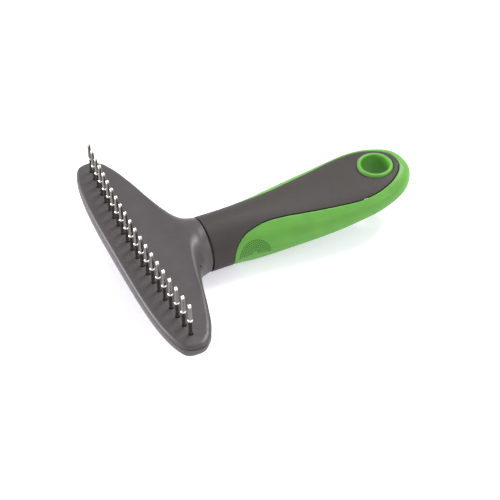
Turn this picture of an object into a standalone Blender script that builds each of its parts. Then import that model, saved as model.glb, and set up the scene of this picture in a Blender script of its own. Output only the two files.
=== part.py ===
"""Deshedding tool: a rake head with 21 freely turning steel pins on a soft-grip handle.

Frame: the tool lies on its back on the plane z = 0. +X runs from the head towards the
hanging hole, +Z points the way the pins do, and y = 0 is the plane of symmetry.
The origin is the centre of the bounding box's bottom face. Blender units are metres.
"""

import math

import bmesh
import bpy
from mathutils import Matrix

MM = 0.001
GAP = 0.3 * MM

# Overall sizes.
LENGTH = 156.6 * MM
HEAD_HALF_WIDTH = 68.0 * MM
FACE_Z = 25.0 * MM
FRONT_X = -LENGTH / 2.0
BUTT_X = LENGTH / 2.0

# Head: a plate with a rounded rim that sweeps back into a round neck.
NECK_X = -34.7 * MM
NECK_R = 13.5 * MM
HEAD_END_X = -66.2 * MM
FRONT_SPAN = 68.8 * MM
FRONT_POWER_Y = 3.6
FRONT_POWER_X = 2.5
RIM_TOP_R = 2.0 * MM
RIM_LOW_R = 4.5 * MM
RIM_LOW_POWER = 3.0
RIM_Z = 23.0 * MM
WING_BOTTOM_Z = 15.2 * MM
WING_TIP_RISE = 2.2 * MM
KEEL_DROP = 0.9 * MM
HEAD_WALL = 2.0 * MM
MAX_STRETCH = 3.4
MITRE_POWER = 8.0
COVER_NOTCH_X = -9.0 * MM
COVER_NOTCH_R = 36.0 * MM
# Half width of the head at each fraction of the way from its front edge to the neck.
HEAD_WIDTHS = (
    (0.00, 65.2 * MM), (0.006, 65.9 * MM), (0.02, 66.6 * MM), (0.05, 67.4 * MM),
    (0.09, 67.85 * MM), (0.14, 68.0 * MM), (0.19, 67.9 * MM), (0.24, 67.4 * MM),
    (0.29, 66.5 * MM), (0.34, 65.2 * MM), (0.40, 63.1 * MM), (0.51, 56.0 * MM),
    (0.60, 45.6 * MM), (0.67, 35.1 * MM), (0.75, 25.3 * MM), (0.83, 18.6 * MM),
    (0.91, 14.9 * MM), (1.00, 13.5 * MM),
)

# Pins: one row on a shallow arc that bows away from the handle.
PIN_COUNT = 21
PIN_PITCH = 6.0 * MM
ROW_X = -69.1 * MM
ROW_BOW = 2.8 * MM
PIN_HEIGHT = 18.3 * MM
PIN_TIP_R = 0.75 * MM
PIN_CONE_R = 1.0 * MM
PIN_COLLAR_R = 1.25 * MM
PIN_COLLAR_Z = 8.7 * MM
PIN_STEM_R = 0.9 * MM
PIN_HEAD_R = 1.8 * MM
PIN_HEAD_H = 1.1 * MM
END_SEAT_R = 3.2 * MM

# Retainer strip under the pin heads, and the screws of the head.
STRIP_HALF_WIDTH = 2.6 * MM
STRIP_END_Y = 60.8 * MM
STRIP_H = 1.6 * MM
STRIP_TAB_BACK = 5.2 * MM
STRIP_TAB_R = 3.2 * MM
STRIP_SCREW_Y = (-39.0 * MM, -15.0 * MM, 15.0 * MM, 39.0 * MM)
COVER_SCREW_XY = (
    (-60.8 * MM, -48.0 * MM), (-52.0 * MM, -20.0 * MM),
    (-52.0 * MM, 20.0 * MM), (-60.8 * MM, 48.0 * MM),
)
SCREW_R = 1.0 * MM
SCREW_HEAD_R = 2.0 * MM
SCREW_HEAD_H = 1.2 * MM
PILOT_TOP_Z = FACE_Z - 1.0 * MM
COVER_SEAT_Z = 17.8 * MM

# Handle: half width, top and bottom at stations along its length. Below z = 0 it is cut flat.
HANDLE_X = -33.3 * MM
HANDLE_STATIONS = (
    (-34.0 * MM, 13.5 * MM, 27.0 * MM, -0.9 * MM),
    (-20.0 * MM, 13.4 * MM, 26.8 * MM, -1.0 * MM),
    (-9.0 * MM, 14.5 * MM, 26.3 * MM, -1.2 * MM),
    (11.0 * MM, 17.5 * MM, 25.7 * MM, 2.4 * MM),
    (31.0 * MM, 19.5 * MM, 25.9 * MM, 6.0 * MM),
    (49.0 * MM, 20.2 * MM, 27.2 * MM, 10.0 * MM),
    (61.0 * MM, 20.2 * MM, 28.2 * MM, 12.6 * MM),
    (79.0 * MM, 20.2 * MM, 28.4 * MM, 14.4 * MM),
)
BUTT_TAPER_X = 49.0 * MM
BUTT_EDGE_R = 7.5 * MM
WRAP_T = 2.4 * MM

# Edge of the green wrap: top panel half widths, and where its front stands at each height.
PANEL_END_X = 71.7 * MM
PANEL_LOW_Z = 19.7 * MM
PANEL_WIDTHS = (
    (-40.0 * MM, 13.0 * MM), (-19.1 * MM, 11.7 * MM), (-15.4 * MM, 10.5 * MM),
    (-11.6 * MM, 9.7 * MM), (-6.9 * MM, 9.1 * MM), (-2.0 * MM, 9.0 * MM),
    (6.0 * MM, 9.8 * MM), (14.0 * MM, 11.2 * MM), (29.0 * MM, 13.8 * MM),
    (41.0 * MM, 15.8 * MM), (46.0 * MM, 16.1 * MM), (51.3 * MM, 15.9 * MM),
    (56.3 * MM, 15.0 * MM), (61.4 * MM, 13.2 * MM), (66.0 * MM, 10.4 * MM),
    (69.0 * MM, 7.6 * MM), (71.0 * MM, 4.2 * MM),
)
WRAP_FRONT = (
    (-19.1 * MM, 19.7 * MM), (-20.6 * MM, 18.2 * MM), (-21.8 * MM, 16.2 * MM),
    (-22.8 * MM, 12.0 * MM), (-22.7 * MM, 7.0 * MM), (-21.0 * MM, -1.0 * MM),
)

# Hanging hole and the grommet that lines it.
HOLE_X = 60.0 * MM
HOLE_R = 7.0 * MM
GROMMET_R = 7.9 * MM
GROMMET_LIP_R = 8.9 * MM
GROMMET_TOP_Z = 28.9 * MM
GROMMET_LIP_H = 1.7 * MM
GROMMET_BOTTOM_Z = 13.2 * MM

# Neck joint: a plug inside the neck, its long screw and the seam ring.
AXIS_Z = NECK_R
PLUG_FLANGE_R = 9.8 * MM
PLUG_FLANGE_X = -40.0 * MM
PLUG_R = 8.0 * MM
PLUG_END_X = -12.0 * MM
BOLT_R = 2.0 * MM
BOLT_HEAD_R = 4.0 * MM
BOLT_HEAD_H = 3.0 * MM
BOLT_END_X = 4.0 * MM
SEAM_RING_R = 12.7 * MM

FAR = 60.0 * MM


def start_scene():
    """Empty the scene and make the two collections."""
    for old in list(bpy.data.objects):
        bpy.data.objects.remove(old, do_unlink=True)
    parts = bpy.data.collections.new("deshedding_tool")
    cutters = bpy.data.collections.new("cutters")
    bpy.context.scene.collection.children.link(parts)
    bpy.context.scene.collection.children.link(cutters)
    return parts, cutters


PARTS, CUTTERS = start_scene()


def make_material(name, colour, roughness, metallic=0.0):
    material = bpy.data.materials.new(name)
    material.use_nodes = True
    shader = material.node_tree.nodes["Principled BSDF"]
    shader.inputs["Base Color"].default_value = (*colour, 1.0)
    shader.inputs["Roughness"].default_value = roughness
    shader.inputs["Metallic"].default_value = metallic
    return material


HEAD_GREY = make_material("head_grey_plastic", (0.047, 0.040, 0.041), 0.42)
GRIP_GREY = make_material("grip_grey_rubber", (0.047, 0.037, 0.036), 0.55)
GRIP_GREEN = make_material("grip_green_rubber", (0.098, 0.305, 0.034), 0.5)
SEAM_BLACK = make_material("seam_black_rubber", (0.02, 0.02, 0.02), 0.7)
INNER_WHITE = make_material("inner_plastic", (0.55, 0.55, 0.53), 0.5)
PIN_STEEL = make_material("pin_steel", (0.72, 0.70, 0.67), 0.18, 1.0)
SCREW_STEEL = make_material("screw_steel", (0.55, 0.55, 0.55), 0.3, 1.0)


def add_object(name, mesh, material=None):
    """Put a mesh in the parts collection, or among the cutters if it has no material."""
    item = bpy.data.objects.new(name, mesh)
    if material is None:
        CUTTERS.objects.link(item)
        item.hide_render = True
        item.display_type = "WIRE"
    else:
        PARTS.objects.link(item)
        mesh.materials.append(material)
    return item


def boolean(item, other, operation):
    modifier = item.modifiers.new(other.name, "BOOLEAN")
    modifier.operation = operation
    modifier.solver = "EXACT"
    modifier.object = other


def smooth_shading(mesh):
    mesh.shade_smooth()
    mesh.set_sharp_from_angle(angle=math.radians(35.0))


def ease(value):
    """Smooth step from 0 to 1."""
    t = min(max(value, 0.0), 1.0)
    return t * t * (3.0 - 2.0 * t)


def read_curve(points, where):
    """Read a smooth curve through (place, value) points, flat beyond its ends."""
    if where <= points[0][0]:
        return points[0][1]
    if where >= points[-1][0]:
        return points[-1][1]
    index = 0
    while where > points[index + 1][0]:
        index += 1
    slopes = []
    for place in (index, index + 1):
        before = points[max(place - 1, 0)]
        after = points[min(place + 1, len(points) - 1)]
        slopes.append((after[1] - before[1]) / (after[0] - before[0]))
    (x0, v0), (x1, v1) = points[index], points[index + 1]
    span = x1 - x0
    t = (where - x0) / span
    return (
        v0 * (1.0 + 2.0 * t) * (1.0 - t) ** 2
        + v1 * t * t * (3.0 - 2.0 * t)
        + slopes[0] * span * t * (1.0 - t) ** 2
        - slopes[1] * span * t * t * (1.0 - t)
    )


def loft(rings):
    """Skin closed rings of points, cap both ends and weld points that coincide."""
    shape = bmesh.new()
    rows = [[shape.verts.new(point) for point in ring] for ring in rings]
    count = len(rings[0])
    for row, next_row in zip(rows, rows[1:]):
        for i in range(count):
            j = (i + 1) % count
            shape.faces.new((row[i], row[j], next_row[j], next_row[i]))
    shape.faces.new(reversed(rows[0]))
    shape.faces.new(rows[-1])
    bmesh.ops.remove_doubles(shape, verts=shape.verts, dist=1e-6)
    flat = [face for face in shape.faces if face.calc_area() < 1e-12]
    bmesh.ops.delete(shape, geom=flat, context="FACES_ONLY")
    bmesh.ops.triangulate(shape, faces=shape.faces)
    bmesh.ops.recalc_face_normals(shape, faces=shape.faces)
    mesh = bpy.data.meshes.new("loft")
    shape.to_mesh(mesh)
    shape.free()
    smooth_shading(mesh)
    return mesh


def cylinder(name, radius, low, high, axis="Z", segments=24):
    """A cutter cylinder whose two end centres are low and high, along Z or X."""
    shape = bmesh.new()
    length = high[2] - low[2] if axis == "Z" else high[0] - low[0]
    bmesh.ops.create_cone(
        shape, cap_ends=True, segments=segments, radius1=radius, radius2=radius, depth=length
    )
    mesh = bpy.data.meshes.new(name)
    shape.to_mesh(mesh)
    shape.free()
    item = add_object(name, mesh)
    item.location = [(a + b) / 2.0 for a, b in zip(low, high)]
    if axis == "X":
        item.rotation_euler = (0.0, math.radians(90.0), 0.0)
    return item


def posts(name, radius, places, segments=16):
    """One cutter made of upright cylinders, one for each (x, y, low z, high z)."""
    shape = bmesh.new()
    for x, y, low, high in places:
        middle = Matrix.Translation((x, y, (low + high) / 2.0))
        bmesh.ops.create_cone(
            shape, cap_ends=True, segments=segments, radius1=radius, radius2=radius,
            depth=high - low, matrix=middle
        )
    mesh = bpy.data.meshes.new(name)
    shape.to_mesh(mesh)
    shape.free()
    return add_object(name, mesh)


def box(name, low, high):
    """A cutter box between two corners."""
    shape = bmesh.new()
    bmesh.ops.create_cube(shape, size=1.0)
    sizes = [b - a for a, b in zip(low, high)]
    bmesh.ops.scale(shape, vec=sizes, verts=shape.verts)
    mesh = bpy.data.meshes.new(name)
    shape.to_mesh(mesh)
    shape.free()
    item = add_object(name, mesh)
    item.location = [(a + b) / 2.0 for a, b in zip(low, high)]
    return item


def prism(name, outline, low, high, axis):
    """A cutter made of a flat outline, drawn out along Z (outline in x, y) or Y (in x, z)."""
    if axis == "Z":
        rings = [[(x, y, level) for x, y in outline] for level in (low, high)]
    else:
        rings = [[(x, level, z) for x, z in outline] for level in (low, high)]
    return add_object(name, loft(rings))


def turned(name, profile, material, location, axis="Z", steps=12, ring=False):
    """Turn a (radius, height) profile, listed from its top down its outer side.

    A ring's profile is closed; any other one starts and ends on the axis.
    """
    mesh = bpy.data.meshes.new(name)
    points = [(radius, 0.0, height) for radius, height in profile]
    edges = [(i, i + 1) for i in range(len(points) - 1)]
    if ring:
        edges.append((len(points) - 1, 0))
    mesh.from_pydata(points, edges, [])
    item = add_object(name, mesh, material)
    screw = item.modifiers.new("turn", "SCREW")
    screw.steps = steps
    screw.render_steps = steps
    screw.use_merge_vertices = True
    screw.merge_threshold = 0.00001
    item.location = location
    if axis == "X":
        item.rotation_euler = (0.0, math.radians(90.0), 0.0)
    return item


# ---------------------------------------------------------------- head

def front_edge_x(y):
    """Front edge of the head at y: a flattened oval arc."""
    share = min(abs(y) / FRONT_SPAN, 1.0) ** FRONT_POWER_Y
    return HEAD_END_X - (HEAD_END_X - FRONT_X) * (1.0 - share) ** (1.0 / FRONT_POWER_X)


def head_bottom_z(g, y):
    """Underside of the head: flat wings with a keel that deepens towards the neck."""
    spread = 16.0 * MM + 60.0 * MM * ease((g - 0.7) / 0.3)
    keel = ease((g - 0.22) / 0.5) * math.exp(-((y / spread) ** 2))
    keel += ease((g - 0.8) / 0.2) * (1.0 - keel)
    wing = WING_BOTTOM_Z + WING_TIP_RISE * (y / HEAD_HALF_WIDTH) ** 2
    return wing * (1.0 - keel) - KEEL_DROP * keel


def underside_z(x, y):
    """Height of the head's underside at (x, y)."""
    start_x = front_edge_x(y)
    return head_bottom_z((x - start_x) / (NECK_X - start_x), y)


def outline_stretch(g):
    """How many times longer a step across the head's outline is along Y than square to it."""
    places = []
    for share in (max(g - 0.02, 0.0), min(g + 0.02, 1.0)):
        width = read_curve(HEAD_WIDTHS, share)
        start_x = front_edge_x(width)
        places.append((start_x + share * (NECK_X - start_x), width))
    dx = places[1][0] - places[0][0]
    dy = places[1][1] - places[0][1]
    return min(math.hypot(dx, dy) / abs(dx), MAX_STRETCH)


def left_share(distance, radius):
    """How far a place still is from the inner end of a rim: 1 at its edge, 0 past radius."""
    return 1.0 - min(max(distance, 0.0) / max(radius, 0.1 * MM), 1.0)


def rim_height(from_side, from_front, power):
    """Height share of the rounded rim where two rims meet at a soft mitre."""
    left = (from_side ** MITRE_POWER + from_front ** MITRE_POWER) ** (1.0 / MITRE_POWER)
    return (1.0 - min(left, 1.0) ** power) ** (1.0 / power)


def head_ring(g, inset, half_count):
    """Section of the head at fraction g of the way from its front edge to the neck."""
    stretch = outline_stretch(g)
    full_width = read_curve(HEAD_WIDTHS, g)
    width = full_width - inset * stretch
    to_neck = ease((g - 0.62) / 0.38)
    middle = RIM_Z + (AXIS_Z - RIM_Z) * ease((g - 0.6) / 0.4)
    top = FACE_Z + (2.0 * NECK_R - FACE_Z) * ease((g - 0.55) / 0.45) - inset
    low_power = RIM_LOW_POWER + (2.0 - RIM_LOW_POWER) * to_neck
    ring = []
    for k in range(2 * half_count):
        angle = math.pi * k / half_count
        y = width * math.cos(angle)
        start_x = front_edge_x(y) + inset
        x = start_x + g * (NECK_X - start_x)
        if k % half_count == 0:
            ring.append((x, y, middle))
            continue
        upper = k < half_count
        edge_r = RIM_TOP_R if upper else RIM_LOW_R
        power = 2.0 if upper else low_power
        rim = min((edge_r + (NECK_R - edge_r) * to_neck) * stretch, full_width) - inset * stretch
        from_front = left_share(x - start_x, edge_r - inset)
        side = rim_height(left_share(width - abs(y), rim), from_front, power)
        if upper:
            z = middle + (top - middle) * side
        else:
            z = middle - (middle - head_bottom_z(g, y) - inset) * side
        ring.append((x, y, max(z, inset)))
    return ring


def head_loft(inset, fractions, half_count, reach=0.0):
    """The head's outer skin, or the hollow inside it, drawn out past the neck by reach."""
    rings = [head_ring(g, inset, half_count) for g in fractions]
    if reach:
        rings.append([(x + reach, y, z) for x, y, z in rings[-1]])
    return loft(rings)


OUTER_FRACTIONS = (
    0.0, 0.012, 0.04, 0.08, 0.13, 0.20, 0.30, 0.39, 0.48, 0.56, 0.64, 0.70, 0.76, 0.82,
    0.88, 0.94, 1.0,
)
INNER_FRACTIONS = (0.0, 0.02, 0.07, 0.15, 0.28, 0.40, 0.52, 0.64, 0.76, 0.88, 1.0)


def cover_region(name, extra):
    """The space of the back cover: under the rim's middle and outside a round notch."""
    slab = box(name, (-2 * FAR, -2 * FAR, -FAR), (0.0, 2 * FAR, RIM_Z + extra))
    notch = cylinder(
        name + "_notch", COVER_NOTCH_R - extra, (COVER_NOTCH_X, 0.0, -2 * FAR),
        (COVER_NOTCH_X, 0.0, 2 * FAR), segments=48
    )
    boolean(slab, notch, "DIFFERENCE")
    return slab


def pin_places():
    """(x, y) of each pin, from the -Y end of the row to the +Y end."""
    half_row = PIN_PITCH * (PIN_COUNT - 1) / 2.0
    places = []
    for i in range(PIN_COUNT):
        y = i * PIN_PITCH - half_row
        places.append((row_x(y), y))
    return places


def row_x(y):
    """The pin row's x at y."""
    half_row = PIN_PITCH * (PIN_COUNT - 1) / 2.0
    return ROW_X + ROW_BOW * (y / half_row) ** 2


STRIP_TOP_Z = FACE_Z - HEAD_WALL - PIN_HEAD_H - 2.0 * GAP
STRIP_BOTTOM_Z = STRIP_TOP_Z - STRIP_H
STRIP_SCREW_XY = [(row_x(y) + STRIP_TAB_BACK, y) for y in STRIP_SCREW_Y]


def make_head_shell():
    shell = add_object("head_shell", head_loft(0.0, OUTER_FRACTIONS, 17), HEAD_GREY)
    hollow = add_object("shell_hollow", head_loft(HEAD_WALL, INNER_FRACTIONS, 12, 5.0 * MM))
    boolean(shell, hollow, "DIFFERENCE")
    boolean(shell, cover_region("shell_cut", GAP / 2.0), "DIFFERENCE")
    ceiling = FACE_Z - HEAD_WALL + 0.5 * MM
    bosses = [(x, y, STRIP_TOP_Z + GAP, ceiling) for x, y in STRIP_SCREW_XY]
    boolean(shell, posts("shell_bosses", 2.8 * MM, bosses), "UNION")
    pilots = [(x, y, FACE_Z - 8.0 * MM, PILOT_TOP_Z) for x, y in STRIP_SCREW_XY]
    pilots += [(x, y, RIM_Z - 2.0 * MM, PILOT_TOP_Z) for x, y in COVER_SCREW_XY]
    boolean(shell, posts("shell_pilots", SCREW_R + GAP, pilots, 12), "DIFFERENCE")
    holes = [(x, y, FACE_Z - 6.0 * MM, FACE_Z + 4.0 * MM) for x, y in pin_places()]
    boolean(shell, posts("pin_holes", PIN_STEM_R + GAP, holes, 12), "DIFFERENCE")


def make_back_cover():
    cover = add_object("back_cover", head_loft(0.0, OUTER_FRACTIONS, 17), HEAD_GREY)
    hollow = add_object("cover_hollow", head_loft(HEAD_WALL, INNER_FRACTIONS, 12, 5.0 * MM))
    boolean(cover, hollow, "DIFFERENCE")
    seats = [(x, y, underside_z(x, y) + 0.6 * MM, RIM_Z + MM) for x, y in COVER_SCREW_XY]
    boolean(cover, posts("cover_bosses", 3.6 * MM, seats), "UNION")
    above = box("above_cover", (-2 * FAR, -2 * FAR, RIM_Z - GAP / 2.0), (FAR, 2 * FAR, FAR))
    boolean(cover, above, "DIFFERENCE")
    notch = cylinder(
        "cover_notch", COVER_NOTCH_R + GAP / 2.0, (COVER_NOTCH_X, 0.0, -FAR),
        (COVER_NOTCH_X, 0.0, FAR), segments=48
    )
    boolean(cover, notch, "DIFFERENCE")
    low = STRIP_BOTTOM_Z - GAP
    ends = [(x, y, low, RIM_Z + MM) for x, y in (pin_places()[0], pin_places()[-1])]
    boolean(cover, posts("cover_seats", END_SEAT_R, ends), "DIFFERENCE")
    bores = [(x, y, COVER_SEAT_Z - MM, RIM_Z + 2 * MM) for x, y in COVER_SCREW_XY]
    boolean(cover, posts("cover_bores", SCREW_R + GAP, bores, 12), "DIFFERENCE")
    recesses = [(x, y, -MM, COVER_SEAT_Z) for x, y in COVER_SCREW_XY]
    boolean(cover, posts("cover_recesses", SCREW_HEAD_R + 2 * GAP, recesses), "DIFFERENCE")


def make_pins():
    top = PIN_HEIGHT
    under = -HEAD_WALL - GAP
    profile = (
        (0.0, top), (0.55 * PIN_TIP_R, top - 0.15 * MM), (PIN_TIP_R, top - 0.75 * MM),
        (PIN_CONE_R, PIN_COLLAR_Z + 0.5 * MM), (PIN_COLLAR_R, PIN_COLLAR_Z + 0.2 * MM),
        (PIN_COLLAR_R, PIN_COLLAR_Z - 0.4 * MM), (PIN_STEM_R, PIN_COLLAR_Z - 0.7 * MM),
        (PIN_STEM_R, under), (PIN_HEAD_R, under), (PIN_HEAD_R, under - PIN_HEAD_H),
        (0.0, under - PIN_HEAD_H),
    )
    for i, (x, y) in enumerate(pin_places()):
        turned("pin_%02d" % (i + 1), profile, PIN_STEEL, (x, y, FACE_Z), steps=8)


def make_retainer():
    """A strip that follows the pin row, with four round tabs for its screws."""
    steps = 24
    rows = [-STRIP_END_Y + 2.0 * STRIP_END_Y * i / steps for i in range(steps + 1)]
    rings = []
    for y in rows:
        front, back = row_x(y) - STRIP_HALF_WIDTH, row_x(y) + STRIP_HALF_WIDTH
        rings.append([
            (front, y, STRIP_BOTTOM_Z), (back, y, STRIP_BOTTOM_Z),
            (back, y, STRIP_TOP_Z), (front, y, STRIP_TOP_Z),
        ])
    strip = add_object("pin_retainer", loft(rings), INNER_WHITE)
    inset = 0.02 * MM
    tabs = [(x, y, STRIP_BOTTOM_Z + inset, STRIP_TOP_Z - inset) for x, y in STRIP_SCREW_XY]
    boolean(strip, posts("strip_tabs", STRIP_TAB_R, tabs), "UNION")
    holes = [(x, y, STRIP_BOTTOM_Z - MM, STRIP_TOP_Z + MM) for x, y in STRIP_SCREW_XY]
    boolean(strip, posts("strip_holes", SCREW_R + GAP, holes, 12), "DIFFERENCE")


def make_screw(name, place, seat_z):
    """A pan-head screw that points up, its head under seat_z."""
    x, y = place
    tip = PILOT_TOP_Z - GAP - seat_z
    profile = (
        (0.0, tip), (SCREW_R, tip - 0.9 * MM), (SCREW_R, -GAP), (SCREW_HEAD_R, -GAP),
        (SCREW_HEAD_R, -GAP - 0.7 * SCREW_HEAD_H), (0.6 * SCREW_HEAD_R, -GAP - SCREW_HEAD_H),
        (0.0, -GAP - SCREW_HEAD_H),
    )
    turned(name, profile, SCREW_STEEL, (x, y, seat_z), steps=12)


def make_head_screws():
    for i, place in enumerate(STRIP_SCREW_XY):
        make_screw("retainer_screw_%d" % (i + 1), place, STRIP_BOTTOM_Z)
    for i, place in enumerate(COVER_SCREW_XY):
        make_screw("cover_screw_%d" % (i + 1), place, COVER_SEAT_Z)


# ---------------------------------------------------------------- neck joint

def make_neck_joint():
    """The plug, its long screw and the seam ring, all turned about the neck's axis."""
    bore = BOLT_R + GAP
    plug = (
        (bore, PLUG_END_X), (PLUG_R - MM, PLUG_END_X), (PLUG_R, PLUG_END_X - MM),
        (PLUG_R, NECK_X), (PLUG_FLANGE_R, NECK_X), (PLUG_FLANGE_R, PLUG_FLANGE_X),
        (bore, PLUG_FLANGE_X),
    )
    axis_point = (0.0, 0.0, AXIS_Z)
    turned("neck_plug", plug, INNER_WHITE, axis_point, axis="X", steps=20, ring=True)
    head_low = PLUG_FLANGE_X - GAP
    bolt = (
        (0.0, BOLT_END_X), (BOLT_R, BOLT_END_X - 2 * MM), (BOLT_R, head_low),
        (BOLT_HEAD_R, head_low), (BOLT_HEAD_R, head_low - 0.6 * BOLT_HEAD_H),
        (0.6 * BOLT_HEAD_R, head_low - BOLT_HEAD_H), (0.0, head_low - BOLT_HEAD_H),
    )
    turned("neck_screw", bolt, SCREW_STEEL, axis_point, axis="X", steps=16)
    low = NECK_X + GAP
    high = HANDLE_X - GAP
    inner = PLUG_R + GAP
    ring = ((inner, high), (SEAM_RING_R, high), (SEAM_RING_R, low), (inner, low))
    turned("seam_ring", ring, SEAM_BLACK, axis_point, axis="X", steps=28, ring=True)


# ---------------------------------------------------------------- handle

def handle_section(x):
    """Half width, top and bottom of the handle at x."""
    width = read_curve([(s[0], s[1]) for s in HANDLE_STATIONS], x)
    top = read_curve([(s[0], s[2]) for s in HANDLE_STATIONS], x)
    bottom = read_curve([(s[0], s[3]) for s in HANDLE_STATIONS], x)
    if x > BUTT_TAPER_X:
        along = min((x - BUTT_TAPER_X) / (BUTT_X - BUTT_TAPER_X), 1.0)
        width *= math.sqrt(1.0 - along * along)
    edge = max(0.0, (x - (BUTT_X - BUTT_EDGE_R)) / BUTT_EDGE_R)
    middle = (top + bottom) / 2.0
    half_height = (top - bottom) / 2.0 * math.sqrt(1.0 - min(edge, 1.0) ** 2)
    return width, middle, half_height


def handle_ring(x, inset, count):
    """Section of the handle at x: round at the neck, squarer towards the butt."""
    width, middle, half_height = handle_section(x)
    power = 2.0 / (2.0 + 0.5 * ease((x - NECK_X) / (BUTT_TAPER_X - NECK_X)))
    ring = []
    for k in range(count):
        angle = 2.0 * math.pi * (k + 0.5) / count
        c, s = math.cos(angle), math.sin(angle)
        y = max(width - inset, 0.2 * MM) * math.copysign(abs(c) ** power, c)
        z = middle + max(half_height - inset, 0.2 * MM) * math.copysign(abs(s) ** power, s)
        ring.append((x, y, max(z, inset)))
    return ring


def handle_loft(inset, count, rings):
    """The handle's outer skin, or the same form set in by inset."""
    start, end = HANDLE_X - inset, BUTT_X - inset
    places = []
    for i in range(rings + 1):
        share = math.sin(0.5 * math.pi * i / rings)
        places.append(start + (end - start) * share)
    return loft([handle_ring(x, inset, count) for x in places])


def wrap_region(name, extra):
    """The space of the wrap: behind its front edge and outside the top panel."""
    profile = [(BUTT_X + FAR, -FAR), (BUTT_X + FAR, FAR), (WRAP_FRONT[0][0] - extra, FAR)]
    profile += [(x - extra, z) for x, z in WRAP_FRONT]
    profile.append((WRAP_FRONT[-1][0] - extra, -FAR))
    space = prism(name, profile, -FAR, FAR, "Y")
    near_side = [(x, -(half - extra)) for x, half in PANEL_WIDTHS]
    far_side = [(x, half - extra) for x, half in reversed(PANEL_WIDTHS)]
    outline = near_side + [(PANEL_END_X - extra, 0.0)] + far_side
    panel = prism(name + "_panel", outline, PANEL_LOW_Z, 2 * FAR, "Z")
    boolean(space, panel, "DIFFERENCE")
    return space


def grommet_bore(name, extra):
    """The space of the grommet, with room for its two lips."""
    bore = cylinder(
        name, GROMMET_R + extra, (HOLE_X, 0.0, -MM), (HOLE_X, 0.0, FAR), segments=28
    )
    low_lip = cylinder(
        name + "_low", GROMMET_LIP_R + extra, (HOLE_X, 0.0, -2 * MM),
        (HOLE_X, 0.0, GROMMET_BOTTOM_Z + GROMMET_LIP_H + extra), segments=28
    )
    top_lip = cylinder(
        name + "_top", GROMMET_LIP_R + extra,
        (HOLE_X, 0.0, GROMMET_TOP_Z - GROMMET_LIP_H - extra), (HOLE_X, 0.0, FAR + MM), segments=28
    )
    boolean(bore, low_lip, "UNION")
    boolean(bore, top_lip, "UNION")
    return bore


def make_handle_body():
    """The grey body: collar, top panel and the core under the wrap."""
    body = add_object("handle_body", handle_loft(0.0, 32, 20), GRIP_GREY)
    pocket = wrap_region("wrap_pocket", GAP / 2.0)
    core = add_object("core_form", handle_loft(WRAP_T + GAP, 20, 12))
    boolean(pocket, core, "DIFFERENCE")
    boolean(body, pocket, "DIFFERENCE")
    boolean(body, grommet_bore("body_bore", GAP), "DIFFERENCE")
    socket = cylinder(
        "plug_socket", PLUG_R + GAP, (HANDLE_X - 5 * MM, 0.0, AXIS_Z), (PLUG_END_X + GAP, 0.0, AXIS_Z),
        axis="X", segments=32
    )
    screw_hole = cylinder(
        "screw_hole", BOLT_R + GAP, (PLUG_END_X - MM, 0.0, AXIS_Z), (BOLT_END_X + GAP, 0.0, AXIS_Z),
        axis="X", segments=16
    )
    boolean(body, socket, "DIFFERENCE")
    boolean(body, screw_hole, "DIFFERENCE")


def make_grip_wrap():
    """The green wrap: both sides, the underside and the butt in one piece."""
    wrap = add_object("grip_wrap", handle_loft(0.0, 32, 20), GRIP_GREEN)
    boolean(wrap, wrap_region("wrap_space", -GAP / 2.0), "INTERSECT")
    core = add_object("wrap_core", handle_loft(WRAP_T, 20, 12))
    boolean(wrap, core, "DIFFERENCE")
    boolean(wrap, grommet_bore("wrap_bore", GAP), "DIFFERENCE")


def make_grommet():
    """The ring that lines the hanging hole, with a rolled lip above and below."""
    top, low = GROMMET_TOP_Z, GROMMET_BOTTOM_Z
    profile = (
        (HOLE_R + 0.5 * MM, top), (GROMMET_LIP_R - 0.5 * MM, top), (GROMMET_LIP_R, top - 0.5 * MM),
        (GROMMET_LIP_R, top - GROMMET_LIP_H), (GROMMET_R, top - GROMMET_LIP_H),
        (GROMMET_R, low + GROMMET_LIP_H), (GROMMET_LIP_R, low + GROMMET_LIP_H),
        (GROMMET_LIP_R, low + 0.5 * MM), (GROMMET_LIP_R - 0.5 * MM, low), (HOLE_R + 0.5 * MM, low),
        (HOLE_R, low + 0.5 * MM), (HOLE_R, top - 0.5 * MM),
    )
    turned("hang_hole_grommet", profile, GRIP_GREEN, (HOLE_X, 0.0, 0.0), steps=24, ring=True)


make_head_shell()
make_back_cover()
make_pins()
make_retainer()
make_head_screws()
make_neck_joint()
make_handle_body()
make_grip_wrap()
make_grommet()
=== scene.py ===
"""Looks of the deshedding tool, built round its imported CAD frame.

Each visible CAD node is replaced by a finer piece made from the same driving sizes, or
keeps its mesh and gets a procedural material. Blender units are metres: +X runs from the
rake head to the hanging hole, +Z is the way the pins point.
"""

import math

import bmesh
import bpy
import numpy as np
from mathutils import Matrix, Vector


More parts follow.
